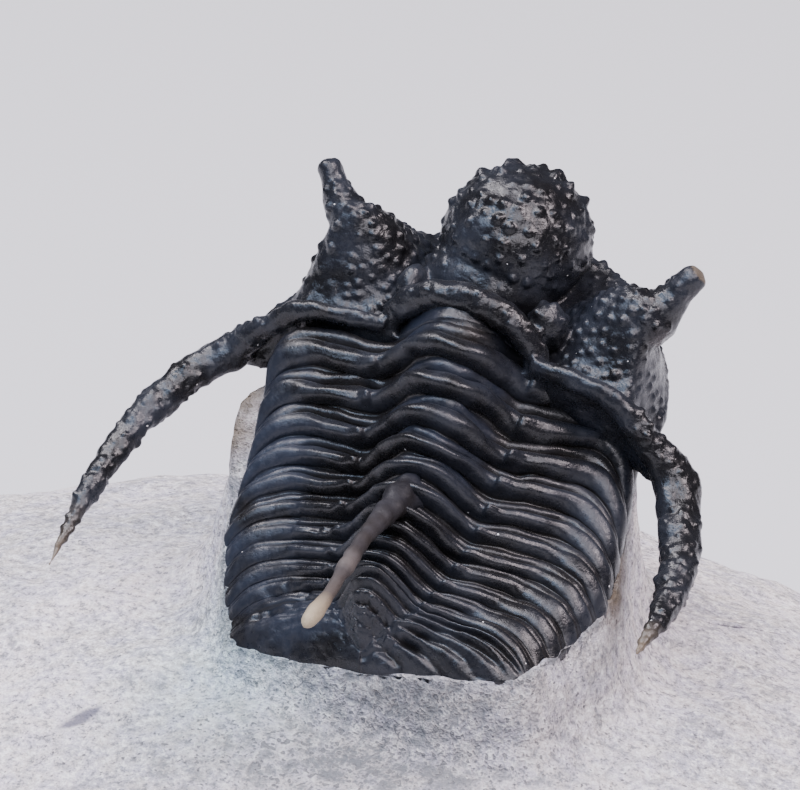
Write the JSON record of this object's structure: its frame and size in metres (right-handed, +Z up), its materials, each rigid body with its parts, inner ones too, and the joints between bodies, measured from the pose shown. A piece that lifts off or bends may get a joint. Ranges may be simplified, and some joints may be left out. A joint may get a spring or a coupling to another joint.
{
  "type": "trilobite fossil",
  "caption": "Spiny trilobite fossil with a bulbous head, eye stalks and long curved spines, standing on a pedestal of pale limestone.",
  "frame": {"origin": "middle of the rock's flat underside, below the middle of its bounding box", "axes": "+Z up, +Y towards the trilobite's head, +X towards the animal's right side, along the rock's longest side"},
  "size_m": [0.051, 0.0416, 0.029],
  "materials": {
    "fossil_shell": "satin black calcite shell, lightly polished by preparation",
    "limestone": "matt, finely granular pale grey"
  },
  "bodies": {
    "root": {"trilobite": "fossil_shell", "matrix": "limestone"}
  },
  "joints": []
}
